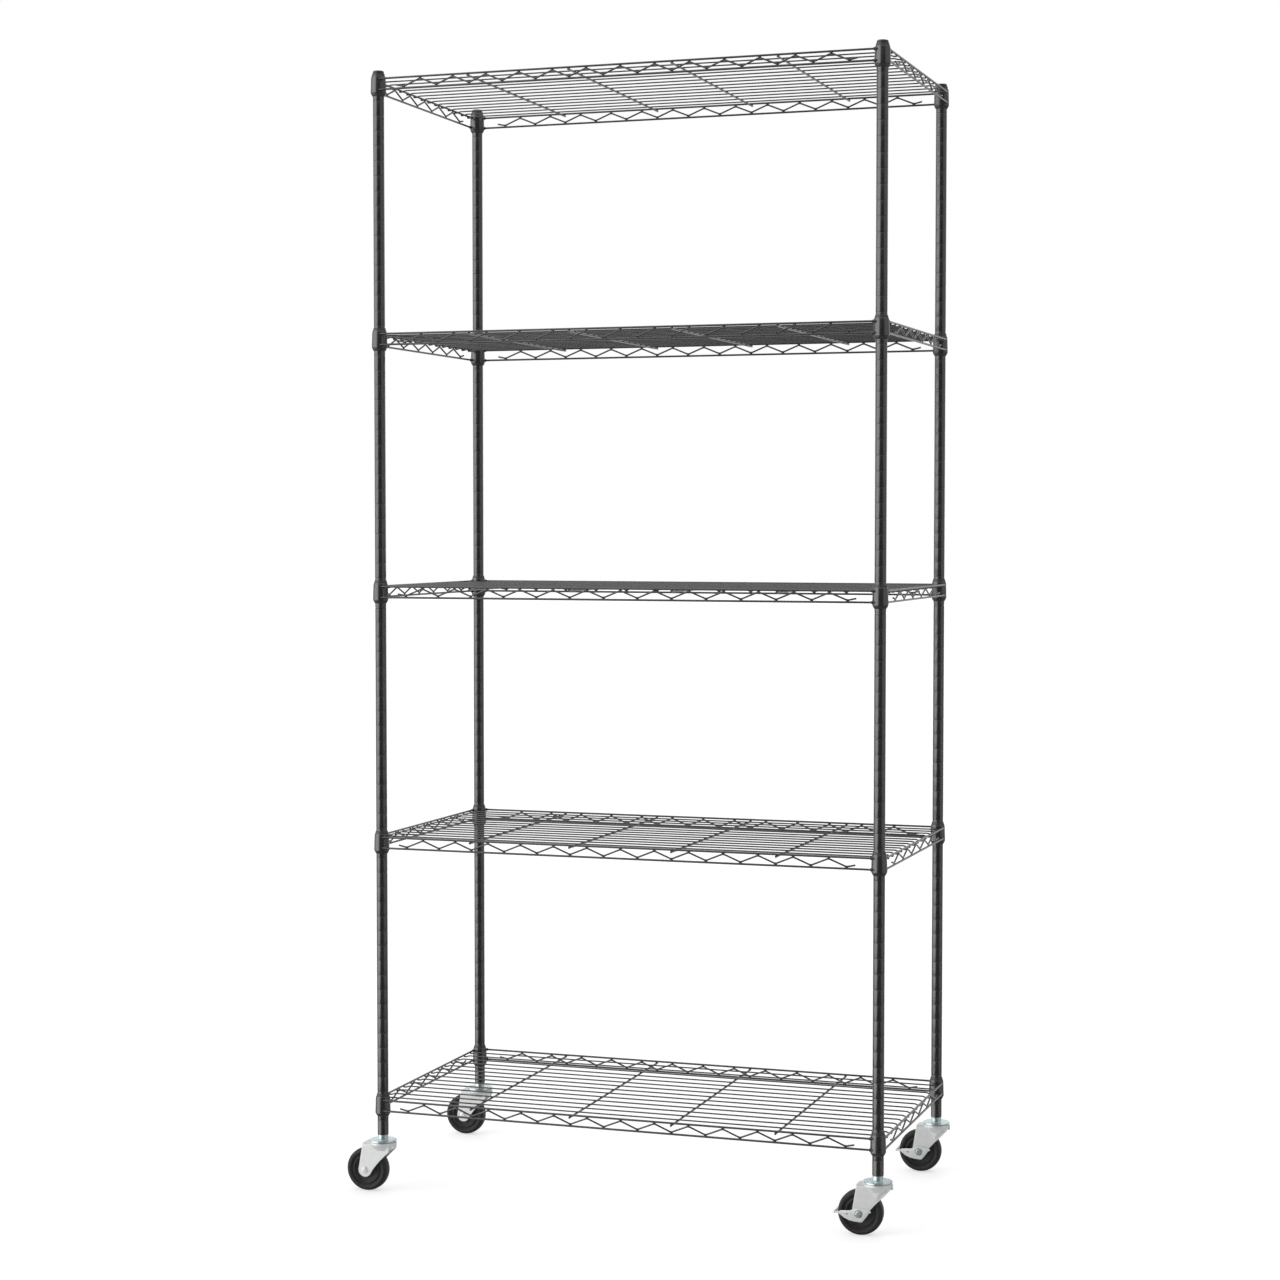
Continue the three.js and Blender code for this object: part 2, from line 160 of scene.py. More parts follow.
def tube(path, radius, sides=10, rounding=0.3):
    """A round wire along a path, with slightly rounded ends."""
    points = [Vector(p) for p in path]
    directions = [(b - a).normalized() for a, b in zip(points, points[1:])]
    tangents = [directions[0]]
    tangents += [(a + b).normalized() for a, b in zip(directions, directions[1:])]
    tangents.append(directions[-1])
    normal = tangents[0].orthogonal().normalized()
    rings = []
    for point, tangent in zip(points, tangents):
        normal = (normal - tangent * normal.dot(tangent)).normalized()
        rings.append((point, tangent, normal, radius))
    step = rounding * radius
    first, last = rings[0], rings[-1]
    rings[0] = (first[0] + first[1] * step, *first[1:])
    rings[-1] = (last[0] - last[1] * step, *last[1:])
    rings.insert(0, (first[0], first[1], first[2], radius - step))
    rings.append((last[0], last[1], last[2], radius - step))
    verts = []
    for point, tangent, normal, size in rings:
        side = tangent.cross(normal)
        for i in range(sides):
            angle = 2 * math.pi * i / sides
            verts.append(point + size * (math.cos(angle) * normal + math.sin(angle) * side))
    faces = []
    for row in range(len(rings) - 1):
        for i in range(sides):
            j = (i + 1) % sides
            low, high = row * sides, (row + 1) * sides
            faces.append((low + i, low + j, high + j, high + i))
    faces.append(tuple(reversed(range(sides))))
    faces.append(tuple(range(len(verts) - sides, len(verts))))
    return verts, faces


def bent(corners, radius, steps=4):
    """A path through these corners, with each inner corner rounded."""
    points = [Vector(c) for c in corners]
    path = [points[0]]
    for before, corner, after in zip(points, points[1:], points[2:]):
        reach = min(radius, (before - corner).length / 2.2, (after - corner).length / 2.2)
        start = corner + (before - corner).normalized() * reach
        end = corner + (after - corner).normalized() * reach
        for i in range(steps + 1):
            t = i / steps
            path.append((1 - t) ** 2 * start + 2 * t * (1 - t) * corner + t ** 2 * end)
    path.append(points[-1])
    return path


def nugget(centre, size, sides=8, rows=5):
    """A flattened drop of weld metal."""
    profile = []
    for i in range(rows + 1):
        angle = math.pi * i / rows - math.pi / 2
        profile.append((max(0.0, math.cos(angle)) if 0 < i < rows else 0.0, math.sin(angle)))
    verts, faces = lathe(profile, sides)
    scale = Matrix.Diagonal((*size, 1))
    return [Matrix.Translation(centre) @ scale @ Vector(v) for v in verts], faces


def plate(outline, low, high, bevel=0.45):
    """A flat plate with softened edges: an outline in XZ between two Y values."""
    work = bmesh.new()
    corners = [work.verts.new((x, low, z)) for x, z in outline]
    face = work.faces.new(corners)
    pulled = bmesh.ops.extrude_face_region(work, geom=[face])
    moved = [v for v in pulled["geom"] if isinstance(v, bmesh.types.BMVert)]
    bmesh.ops.translate(work, verts=moved, vec=(0, high - low, 0))
    rim = [e for e in work.edges if abs(e.verts[0].co.y - e.verts[1].co.y) < 1e-6]
    bmesh.ops.bevel(work, geom=rim, offset=bevel, segments=2, affect="EDGES", profile=0.6)
    bmesh.ops.recalc_face_normals(work, faces=work.faces)
    work.verts.index_update()
    shell = [tuple(v.co) for v in work.verts], [tuple(v.index for v in f.verts) for f in work.faces]
    work.free()
    return shell


TURN_TO_Y = Matrix.Rotation(math.radians(-90), 4, "X")


# ---- materials ----

def material(name, colour, roughness, metallic=0.0, **inputs):
    """A node material whose other shader inputs are plain values."""
    made = bpy.data.materials.new(name)
    made.use_nodes = True
    shader = made.node_tree.nodes["Principled BSDF"]
    shader.inputs["Base Color"].default_value = (*colour, 1)
    shader.inputs["Roughness"].default_value = roughness
    shader.inputs["Metallic"].default_value = metallic
    for key, value in inputs.items():
        shader.inputs[key.replace("_", " ")].default_value = value
    return made, made.node_tree, shader


def noise(tree, scale, detail=3.0, stretch=(1, 1, 1)):
    """Noise in the piece's own metres; scale is in waves per metre."""
    place = tree.nodes.new("ShaderNodeTexCoord")
    mapping = tree.nodes.new("ShaderNodeMapping")
    mapping.inputs["Scale"].default_value = stretch
    grain = tree.nodes.new("ShaderNodeTexNoise")
    grain.inputs["Scale"].default_value = scale
    grain.inputs["Detail"].default_value = detail
    tree.links.new(place.outputs["Object"], mapping.inputs["Vector"])
    tree.links.new(mapping.outputs["Vector"], grain.inputs["Vector"])
    return grain.outputs["Fac"]


def spread(tree, value, low, high, start=0.3, end=0.7):
    """Remaps a noise value onto low..high."""
    remap = tree.nodes.new("ShaderNodeMapRange")
    remap.inputs["From Min"].default_value = start
    remap.inputs["From Max"].default_value = end
    remap.inputs["To Min"].default_value = low
    remap.inputs["To Max"].default_value = high
    tree.links.new(value, remap.inputs["Value"])
    return remap.outputs["Result"]


def two_colours(tree, value, first, second):
    mix = tree.nodes.new("ShaderNodeMix")
    mix.data_type = "RGBA"
    mix.inputs["A"].default_value = (*first, 1)
    mix.inputs["B"].default_value = (*second, 1)
    tree.links.new(value, mix.inputs["Factor"])
    return mix.outputs["Result"]


def bump(tree, shader, value, strength, depth_mm):
    node = tree.nodes.new("ShaderNodeBump")
    node.inputs["Strength"].default_value = strength
    node.inputs["Distance"].default_value = depth_mm * MM
    tree.links.new(value, node.inputs["Height"])
    tree.links.new(node.outputs["Normal"], shader.inputs["Normal"])


def powder_coat():
    made, tree, shader = material("powder_coat", (0.02, 0.0195, 0.019), 0.34, IOR=2.2)
    cloud = spread(tree, noise(tree, 60), 0, 1)
    colour = two_colours(tree, cloud, (0.0135, 0.013, 0.0125), (0.02, 0.0192, 0.0184))
    tree.links.new(colour, shader.inputs["Base Color"])
    tree.links.new(spread(tree, noise(tree, 420), 0.2, 0.3), shader.inputs["Roughness"])
    bump(tree, shader, noise(tree, 1500, 2.0), 0.35, 0.05)
    return made


def black_plastic():
    made, tree, shader = material("black_plastic", (0.02, 0.02, 0.021), 0.42, IOR=1.9)
    tint = spread(tree, noise(tree, 150), 0, 1)
    colour = two_colours(tree, tint, (0.018, 0.018, 0.019), (0.028, 0.028, 0.028))
    tree.links.new(colour, shader.inputs["Base Color"])
    tree.links.new(spread(tree, noise(tree, 900), 0.36, 0.5), shader.inputs["Roughness"])
    bump(tree, shader, noise(tree, 3500, 2.0), 0.4, 0.04)
    return made


def zinc(name, light, dark, roughness, metallic=1.0):
    """Zinc plate: cloudy colour, fine rolling marks and a soft sheen."""
    made, tree, shader = material(name, light, roughness, metallic)
    cloud = spread(tree, noise(tree, 110, 4.0), 0, 1, 0.35, 0.7)
    tree.links.new(two_colours(tree, cloud, light, dark), shader.inputs["Base Color"])
    smear = spread(tree, noise(tree, 420, 3.0, (1, 1, 0.6)), roughness - 0.04, roughness + 0.06)
    tree.links.new(smear, shader.inputs["Roughness"])
    bump(tree, shader, noise(tree, 900, 2.0), 0.08, 0.015)
    return made


def wheel_rubber():
    made, tree, shader = material("wheel_rubber", (0.02, 0.0195, 0.019), 0.5)
    cloud = spread(tree, noise(tree, 90), 0, 1)
    colour = two_colours(tree, cloud, (0.017, 0.0165, 0.016), (0.025, 0.0245, 0.0235))
    tree.links.new(colour, shader.inputs["Base Color"])
    tree.links.new(spread(tree, noise(tree, 700), 0.42, 0.6), shader.inputs["Roughness"])
    bump(tree, shader, noise(tree, 2600, 3.0), 0.4, 0.06)
    return made


MATERIALS = {
    "powder": powder_coat(),
    "plastic": black_plastic(),
    "zinc_disc": zinc("zinc_disc", (0.82, 0.91, 0.93), (0.66, 0.79, 0.83), 0.26, 0.85),
    "zinc_fork": zinc("zinc_fork", (0.92, 0.935, 0.925), (0.87, 0.89, 0.88), 0.42, 0.5),
    "zinc_nut": zinc("zinc_nut", (0.36, 0.37, 0.36), (0.24, 0.25, 0.25), 0.34),
    "rubber": wheel_rubber(),
}


def add_piece(name, mesh, look, body, place, *nodes):
    """An object of this mesh at a place in metres. It rides on a body and stands for CAD nodes."""
    piece = bpy.data.objects.new(name, mesh)
    bpy.context.scene.collection.objects.link(piece)
    if not mesh.materials:
        mesh.materials.append(MATERIALS[look])
    piece.location = place
    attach(piece, body)
    if nodes:
        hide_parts(*nodes)
    return piece


# ---- places read from the frame ----

def middle(node):
    low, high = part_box(node)
    return (low + high) / 2


POST_PLACE = {corner: middle(f"post_lower_{corner}") for corner in CORNERS}
POST_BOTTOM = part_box("post_lower_front_left")[0].z / MM
POST_JOINT = middle("post_coupling_front_left").z / MM
CAP_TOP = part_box("post_cap_front_left")[1].z / MM
RACK_X = middle("shelf_1").x
HALF_X = (POST_PLACE["front_right"].x - RACK_X) / MM
HALF_Y = POST_PLACE["back_left"].y / MM
SHELF_HEIGHTS = [middle(f"sleeve_{i + 1}_front_left").z for i in range(SHELF_COUNT)]
AXLE_PLACE = {corner: middle(f"caster_wheel_{corner}") for corner in CORNERS}


def on_axis(corner, height_mm=0.0):
    """A point on a post's axis."""
    place = POST_PLACE[corner]
    return Vector((place.x, place.y, height_mm * MM))


# ---- posts ----

def grooved_side(low, high, end_bevel=0.6):
    """The outside of a tube between two heights, with a groove at each whole pitch."""
    points = [(POST_RADIUS - end_bevel, low), (POST_RADIUS, low + end_bevel)]
    first = math.ceil((low - POST_BOTTOM + 3) / GROOVE_PITCH)
    last = math.floor((high - POST_BOTTOM - 3) / GROOVE_PITCH)
    for i in range(first, last + 1):
        centre = POST_BOTTOM + i * GROOVE_PITCH
        for offset, depth in ((-1, 0), (-0.7, 0.25), (-0.4, 1), (0.4, 1), (0.7, 0.25), (1, 0)):
            points.append((POST_RADIUS - depth * GROOVE_DEPTH, centre + offset * GROOVE_HALF_WIDTH))
    points += [(POST_RADIUS, high - end_bevel), (POST_RADIUS - end_bevel, high)]
    return points


def post_half(name, low, high, insert):
    profile = grooved_side(low, high)
    profile += [(POST_BORE, high)]
    if insert:
        profile += [(POST_BORE, low + 20), (5.3, low + 20), (5.3, low)]
    else:
        profile += [(POST_BORE, low)]
    return Shells().add(lathe(profile, 32, ring=True)).mesh(name)


def coupling():
    """The stud between the halves: coarse threads and a thin flange."""
    half, reach, root, crest = FLANGE_HALF, 20.0, 7.3, 8.0
    profile = [(0, -reach), (root, -reach)]
    turns = 8
    for i in range(turns):
        base = -reach + 1 + i * (reach - 3) / turns
        profile += [(root, base), (crest, base + 0.7), (crest, base + 1.1), (root, base + 1.8)]
    profile += [(root, -half), (POST_RADIUS - 0.5, -half), (POST_RADIUS, -half + 0.3)]
    upper = [(radius, -height) for radius, height in reversed(profile)]
    return Shells().add(lathe(profile + upper, 32)).mesh("coupling")


def cap():
    profile = [(0, -19), (7.6, -19), (8.0, -17.5), (8.0, -4), (9.3, -4), (9.525, -3.7)]
    for i in range(7):
        angle = math.radians(15 * i)
        profile.append((7.325 + 2.2 * math.cos(angle), -2.2 + 2.2 * math.sin(angle)))
    profile += [(3.0, 0), (2.6, -0.25), (0, -0.25)]
    return Shells().add(lathe(profile, 40)).mesh("cap")


def build_posts():
    joint_clearance = FLANGE_HALF + 0.2
    lower = post_half("post_lower", POST_BOTTOM, POST_JOINT - joint_clearance, True)
    upper = post_half("post_upper", POST_JOINT + joint_clearance, CAP_TOP - 4.3, False)
    stud = coupling()
    top = cap()
    for corner in CORNERS:
        base = on_axis(corner)
        add_piece(f"grooved_post_lower_{corner}", lower, "powder", "rack", base, f"post_lower_{corner}")
        add_piece(f"grooved_post_upper_{corner}", upper, "powder", "rack", base, f"post_upper_{corner}")
        joint = on_axis(corner, POST_JOINT)
        add_piece(f"coupling_stud_{corner}", stud, "zinc_nut", "rack", joint, f"post_coupling_{corner}")
        add_piece(f"end_cap_{corner}", top, "plastic", "rack", on_axis(corner, CAP_TOP), f"post_cap_{corner}")


# ---- shelves ----

def collar_shell():
    profile = [
        (COLLAR_RADIUS_BOTTOM - 0.5, COLLAR_BOTTOM),
        (COLLAR_RADIUS_BOTTOM, COLLAR_BOTTOM + 0.5),
        (COLLAR_RADIUS_BOTTOM - 0.1, COLLAR_BOTTOM + 4),
        (COLLAR_RADIUS_TOP + 0.1, COLLAR_TOP - 5),
        (COLLAR_RADIUS_TOP - 0.2, COLLAR_TOP - 2.2),
        (COLLAR_RADIUS_TOP - 0.6, COLLAR_TOP - 0.7),
        (COLLAR_RADIUS_TOP - 1.0, COLLAR_TOP),
        (COLLAR_RADIUS_TOP - 1.4, COLLAR_TOP),
        (COLLAR_RADIUS_BOTTOM - 1.4, COLLAR_BOTTOM),
    ]
    return lathe(profile, 40, ring=True)


def zigzag_path(pitch, periods):
    """The truss wire's corners in XZ: bends at the rails and a short stub at each end."""
    bend = RAIL_RISE - RAIL_RADIUS - ZIGZAG_RADIUS + 0.5
    start = -periods * pitch / 2
    stub = (start - 0.25 * pitch, 0.0, -bend + 0.5 * bend)
    corners = [stub]
    for i in range(2 * periods + 1):
        corners.append((start + i * pitch / 2, 0.0, -bend if i % 2 == 0 else bend))
    corners.append((-stub[0], 0.0, stub[2]))
    return corners


def add_zigzag(shells, pitch, periods, place):
    corners = zigzag_path(pitch, periods)
    shells.add(tube(bent(corners, 3.5), ZIGZAG_RADIUS, 10), place)
    for x, _, z in corners[1:-1]:
        towards = math.copysign(1.3, z)
        shells.add(nugget((x, 0, z + towards), (3.0, 1.5, 1.2)), place)


def sunk_rail(half_length):
    """A rail along X whose ends are pinched where they are welded into the collars' sides."""
    end = half_length + RAIL_END
    rail = tube([(-end, 0, 0), (end, 0, 0)], RAIL_RADIUS, 14, 0.5)
    verts, faces = rail
    pinched = []
    for x, y, z in verts:
        past = max(0.0, min(1.0, (abs(x) - half_length) / RAIL_END))
        pinched.append((x, y, z * (1 - 0.25 * past)))
    return pinched, faces


def add_rails(shells, rail_x, rail_y):
    """Top and bottom rails on all four sides, with a weld where each one meets a collar."""
    quarter = Matrix.Rotation(math.radians(90), 4, "Z")
    for side in (-1, 1):
        for z in (-RAIL_RISE, RAIL_RISE):
            along_x = Matrix.Translation((0, side * rail_y, z))
            along_y = Matrix.Translation((side * rail_x, 0, z)) @ quarter
            for place, half in ((along_x, HALF_X), (along_y, HALF_Y)):
                reach = half - 2 * RAIL_END
                shells.add(sunk_rail(reach), place)
                for end in (-1, 1):
                    shells.add(nugget((end * (reach - 0.8), 0, 0), (2.6, 1.2, 2.9)), place)


def add_deck(shells, rail_x, rail_y):
    """Cross ribs under the front and back rails, and deck wires that tuck under the side rails."""
    rib_z = RAIL_RISE - RAIL_RADIUS - RIB_RADIUS + 0.3
    deck_z = rib_z + RIB_RADIUS + DECK_RADIUS - 0.3
    tuck_z = RAIL_RISE - RAIL_RADIUS - DECK_RADIUS + 0.3
    reach = rail_y + RAIL_RADIUS + 2.2
    ribs = [-rail_x + 2 * rail_x * i / (RIBS + 1) for i in range(1, RIBS + 1)]
    for x in ribs:
        shells.add(tube([(x, -reach, rib_z), (x, reach, rib_z)], RIB_RADIUS, 12))
        for side in (-1, 1):
            shells.add(nugget((x, side * rail_y, rib_z + RIB_RADIUS - 0.1), (2.4, 2.4, 1.2)))
    for i in range(1, DECK_WIRES + 1):
        y = -rail_y + 2 * rail_y * i / (DECK_WIRES + 1)
        corners = [(rail_x + 1.0, y, tuck_z), (rail_x - 4.5, y, tuck_z), (rail_x - 9.5, y, deck_z)]
        mirrored = [(-x, y, z) for x, y, z in reversed(corners)]
        shells.add(tube(bent(corners + mirrored, 2.5, 3), DECK_RADIUS, 10))
        for side in (-1, 1):
            shells.add(nugget((side * rail_x, y, tuck_z + DECK_RADIUS - 0.1), (1.9, 1.7, 0.9)))
        for x in ribs:
            shells.add(nugget((x, y, deck_z - DECK_RADIUS), (1.9, 1.6, 0.8)))


def build_shelves():
    shells = Shells()
    rail_x = HALF_X + RAIL_OFFSET
    rail_y = HALF_Y + RAIL_OFFSET
    for x in (-HALF_X, HALF_X):
        for y in (-HALF_Y, HALF_Y):
            shells.add(collar_shell(), Matrix.Translation((x, y, 0)))
    add_rails(shells, rail_x, rail_y)
    quarter = Matrix.Rotation(math.radians(90), 4, "Z")
    for side in (-1, 1):
        add_zigzag(shells, LONG_PITCH, LONG_PERIODS, Matrix.Translation((0, side * rail_y, 0)))
        place = Matrix.Translation((side * rail_x, 0, 0)) @ quarter
        add_zigzag(shells, SHORT_PITCH, SHORT_PERIODS, place)
    add_deck(shells, rail_x, rail_y)
    mesh = shells.mesh("wire_shelf")
    for i, height in enumerate(SHELF_HEIGHTS):
        name = f"shelf_{i + 1}"
        add_piece(f"wire_{name}", mesh, "powder", "rack", (RACK_X, 0, height), name)


# ---- split sleeves ----

def sleeve_half():
    """Half a tapered sleeve: it shows above and below the collar, and its rib sits in a groove."""
    top, bottom = SLEEVE_REACH, -SLEEVE_REACH
    outline = [
        (9.75, bottom), (10.2, bottom), (10.6, bottom + 0.5), (12.5, COLLAR_BOTTOM - 0.9),
        (12.6, COLLAR_BOTTOM - 0.2), (11.7, COLLAR_BOTTOM + 0.4), (10.95, COLLAR_TOP), (10.8, top - 1.6),
        (10.5, top - 0.5), (10.1, top), (9.75, top), (9.6, top - 0.4), (9.6, 0.4), (9.3, -0.6),
        (9.3, -2.6), (9.6, -3.6), (9.6, bottom + 0.4),
    ]
    steps = 20
    verts, faces = [], []
    start = math.asin(SLEEVE_SLIT / 2 / POST_RADIUS)
    for step in range(steps + 1):
        angle = start + (math.pi - 2 * start) * step / steps
        for radius, height in outline:
            verts.append((radius * math.cos(angle), radius * math.sin(angle), height))
    count = len(outline)
    for step in range(steps):
        for i in range(count):
            j = (i + 1) % count
            low, high = step * count, (step + 1) * count
            faces.append((low + i, high + i, high + j, low + j))
    faces.append(tuple(range(count)))
    faces.append(tuple(reversed(range(steps * count, (steps + 1) * count))))
    return verts, faces


def build_sleeves():
    shell = sleeve_half()
    for half, turn in (("a", 0), ("b", 180)):
        spin = Matrix.Rotation(math.radians(turn), 4, "Z")
        mesh = Shells().add(shell, spin).mesh(f"sleeve_half_{half}")
        for i, height in enumerate(SHELF_HEIGHTS):
            for corner in CORNERS:
                name = f"sleeve_{i + 1}_{corner}"
                place = on_axis(corner, height / MM)
                add_piece(f"{name}_half_{half}", mesh, "plastic", "rack", place, name)


# ---- casters ----

def stem():
    """Threaded rod, neck and flat bearing cup, with the king pin's head under the fork."""
    head = FORK_CROWN_TOP - FORK_THICKNESS - 3.6
    cup = FORK_TOP + 0.4
    top = POST_BOTTOM - 0.1
    profile = [(0, head), (6.0, head), (7.4, head + 0.7), (7.8, head + 1.6), (7.8, head + 3.1)]
    profile += [(4.8, head + 3.1), (4.8, cup + 0.6), (18.5, cup + 0.6), (19.2, cup + 1.0)]
    profile += [(21.8, cup + 1.0), (23.0, cup + 0.3)]
    profile += [(23.6, cup + 0.1), (24.0, cup + 0.5), (24.0, cup + 1.9), (23.7, cup + 2.4), (22.6, cup + 2.8)]
    profile += [(19.0, cup + 3.2), (12.0, cup + 3.4), (10.0, cup + 3.6), (9.2, cup + 4.3), (9.0, cup + 5.4)]
    profile += [(9.0, top - 0.8), (8.5, top), (4.4, top)]
    for i in range(10):
        base = top + 1.0 + 2 * i
        profile += [(4.1, base), (4.8, base + 0.9), (4.1, base + 1.8)]
    profile += [(3.4, top + 22.5), (0, top + 22.5)]
    return Shells().add(lathe(profile, 48)).mesh("stem")


def ball_race():
    shells = Shells()
    for i in range(26):
        angle = 2 * math.pi * i / 26
        centre = (20.4 * math.cos(angle), 20.4 * math.sin(angle), FORK_TOP + 0.55)
        shells.add(nugget(centre, (0.65, 0.65, 0.65), 10, 8))
    return shells.mesh("ball_race")


def tangent_point(x, z, side):
    """Where a straight line from this point touches the fork's round end."""
    across, up = x + TRAIL, z - WHEEL_RADIUS
    turn = math.atan2(up, across) + side * math.acos(FORK_END_RADIUS / math.hypot(across, up))
    return -TRAIL + FORK_END_RADIUS * math.cos(turn), WHEEL_RADIUS + FORK_END_RADIUS * math.sin(turn)


def curve_at_height(start, control, end, z):
    """How far forward a quadratic curve that climbs from start to end is at this height."""
    low, high = 0.0, 1.0
    for _ in range(30):
        t = (low + high) / 2
        height = (1 - t) ** 2 * start[1] + 2 * t * (1 - t) * control[1] + t * t * end[1]
        low, high = (t, high) if height < z else (low, t)
    return (1 - t) ** 2 * start[0] + 2 * t * (1 - t) * control[0] + t * t * end[0]


def fork_edges(z):
    """Where the fork leg's rear and front edges are at a height."""
    half = math.sqrt(max(0.0, FORK_END_RADIUS ** 2 - (WHEEL_RADIUS - z) ** 2))
    rear_top = (-FORK_REAR, FORK_CROWN_TOP - 5.0)
    rear_foot = tangent_point(*rear_top, 1)
    front_foot = tangent_point(FORK_WAIST_X, FORK_WAIST_Z, -1)
    rear, front = -TRAIL - half, -TRAIL + half
    if z > rear_foot[1]:
        share = min(1.0, (z - rear_foot[1]) / (rear_top[1] - rear_foot[1]))
        rear = rear_foot[0] + (rear_top[0] - rear_foot[0]) * share
    if z > front_foot[1]:
        corner = (FORK_LEG_FRONT, FORK_SKIRT_BOTTOM - FORK_THICKNESS)
        waist = (FORK_WAIST_X, FORK_WAIST_Z)
        front = curve_at_height(front_foot, waist, corner, min(z, corner[1]))
    return rear, front


def fork_rows(bend=4.5):
    """The strip across the fork: up one leg, over the top and down the other leg."""
    rows = []
    for degrees in (6, 14, 24, 36, 50, 65, 80):
        z = WHEEL_RADIUS - FORK_END_RADIUS * math.cos(math.radians(degrees))
        rows.append((-FORK_HALF_WIDTH, z))
    top_of_leg = FORK_CROWN_TOP - 0.3 - bend
    steps = 30
    for i in range(1, steps + 1):
        rows.append((-FORK_HALF_WIDTH, WHEEL_RADIUS + (top_of_leg - WHEEL_RADIUS) * i / steps))
    for degrees in (15, 30, 45, 60, 75, 90):
        angle = math.radians(degrees)
        y = -FORK_HALF_WIDTH + bend * (1 - math.cos(angle))
        rows.append((y, top_of_leg + bend * math.sin(angle)))
    crown = FORK_CROWN_TOP - 0.3
    rows += [(-7.0, crown), (-3.0, crown), (0.0, crown)]
    return rows + [(-y, z) for y, z in reversed(rows[:-1])]


def gusset(x, z):
    """How far the leg flares out towards the disc here, in a triangle that points down."""
    tip_x, tip_z = GUSSET_TIP
    climb = z - tip_z
    inside = max(0.0, min(1.0, (climb * GUSSET_SPREAD - abs(x - tip_x)) / GUSSET_BLEND))
    return GUSSET_FLARE * inside * inside * (3 - 2 * inside)


def fork_strip(braked):
    """The two legs and the top between them, as one bent plate."""
    columns = 34
    verts, faces = [], []
    rows = fork_rows()
    for y, z in rows:
        rear, front = fork_edges(min(z, FORK_CROWN_TOP - 5))
        for i in range(columns + 1):
            x = rear + (front - rear) * i / columns
            flare = gusset(x, z) if braked and z < FORK_CROWN_TOP - 5 else 0.0
            verts.append((x, y + math.copysign(flare, y), z))
    width = columns + 1
    for row in range(len(rows) - 1):
        for i in range(columns):
            low, high = row * width, (row + 1) * width
            faces.append((low + i, low + i + 1, high + i + 1, high + i))
    work = bmesh.new()
    work.from_mesh(Shells().add((verts, faces)).mesh("strip"))
    bmesh.ops.recalc_face_normals(work, faces=work.faces)
    outward = sum(f.normal.y * f.calc_center_median().y for f in work.faces)
    if outward < 0:
        bmesh.ops.reverse_faces(work, faces=work.faces)
    bmesh.ops.solidify(work, geom=work.faces[:], thickness=FORK_THICKNESS * MM)
    rim = [e for e in work.edges if e.calc_face_angle(0) > math.radians(60)]
    bmesh.ops.bevel(work, geom=rim, offset=0.5 * MM, segments=2, affect="EDGES", profile=0.6)
    bmesh.ops.recalc_face_normals(work, faces=work.faces)
    work.verts.index_update()
    verts = [tuple(v.co / MM) for v in work.verts]
    faces = [tuple(v.index for v in f.verts) for f in work.faces]
    work.free()
    return verts, faces


def fork_disc():
    """The drawn disc on top, with a rolled rim and a skirt that are cut away over the wheel."""
    radius, foot = FORK_DISC_RADIUS, FORK_SKIRT_RADIUS
    roll = 1.6
    profile = [(KING_PIN_HOLE, FORK_TOP - 2.4), (radius - 4.0, FORK_TOP - 2.4)]
    profile += [(radius - 2.6, FORK_TOP - 3.4), (radius - 2.4, FORK_RIM_BOTTOM)]
    profile += [(foot - 2.2, FORK_SKIRT_BOTTOM + 0.4)]
    profile += [(foot - 1.8, FORK_SKIRT_BOTTOM), (foot - 0.4, FORK_SKIRT_BOTTOM)]
    profile += [(foot, FORK_SKIRT_BOTTOM + 0.4), (radius - 0.5, FORK_RIM_BOTTOM - 0.2)]
    profile += [(radius, FORK_RIM_BOTTOM + 0.6), (radius, FORK_TOP - roll)]
    for degrees in (30, 60, 90):
        angle = math.radians(degrees)
        profile.append((radius - roll + roll * math.cos(angle), FORK_TOP - roll + roll * math.sin(angle)))
    profile += [(KING_PIN_HOLE, FORK_TOP)]
    verts, faces = lathe(profile, 72, ring=True)
    cut_level = FORK_TOP - 2.5
    shaped = []
    for x, y, z in verts:
        behind = max(0.0, min(1.0, (-x - 8.0) / 5.0))
        if z < cut_level and abs(y) < FORK_HALF_WIDTH - 1.0:
            z += (cut_level - z) * behind
        shaped.append((x, y, z))
    return shaped, faces


def fork(braked):
    """The bent strip, with the hole in its crown that the king pin turns in."""
    strip = Shells().add(fork_strip(braked)).mesh("fork_braked" if braked else "fork_plain", 42)
    low, high = FORK_CROWN_TOP - 6.0, FORK_CROWN_TOP + 4.0
    pin = [(0, low), (KING_PIN_HOLE, low), (KING_PIN_HOLE, high), (0, high)]
    cutter = Shells().add(lathe(pin, 32)).mesh("cutter")
    return carved(strip, cutter, sharp_degrees=42)


def fork_top():
    shells = Shells().add(fork_disc())
    face, root = FORK_FRONT - 0.1, FORK_DISC_RADIUS - 2.0
    tab = [(root, -2.5), (face - 0.9, -2.5), (face, -1.5), (face, 1.5), (face - 0.9, 2.5), (root, 2.5)]
    shells.add(plate(tab, 1.0 - FORK_TOP, 10.0 - FORK_TOP, 0.4), TURN_TO_Y)
    return shells.mesh("fork_top", 42)


def lower_race():
    """The raised ring of the fork that the balls run on."""
    low, high = FORK_TOP - 0.4, FORK_TOP + 0.3
    profile = [(6.0, low), (21.4, low), (22.0, low + 0.2), (21.8, high), (20.6, high - 0.2)]
    profile += [(19.2, high), (6.0, high)]
    return Shells().add(lathe(profile, 48, ring=True)).mesh("lower_race")


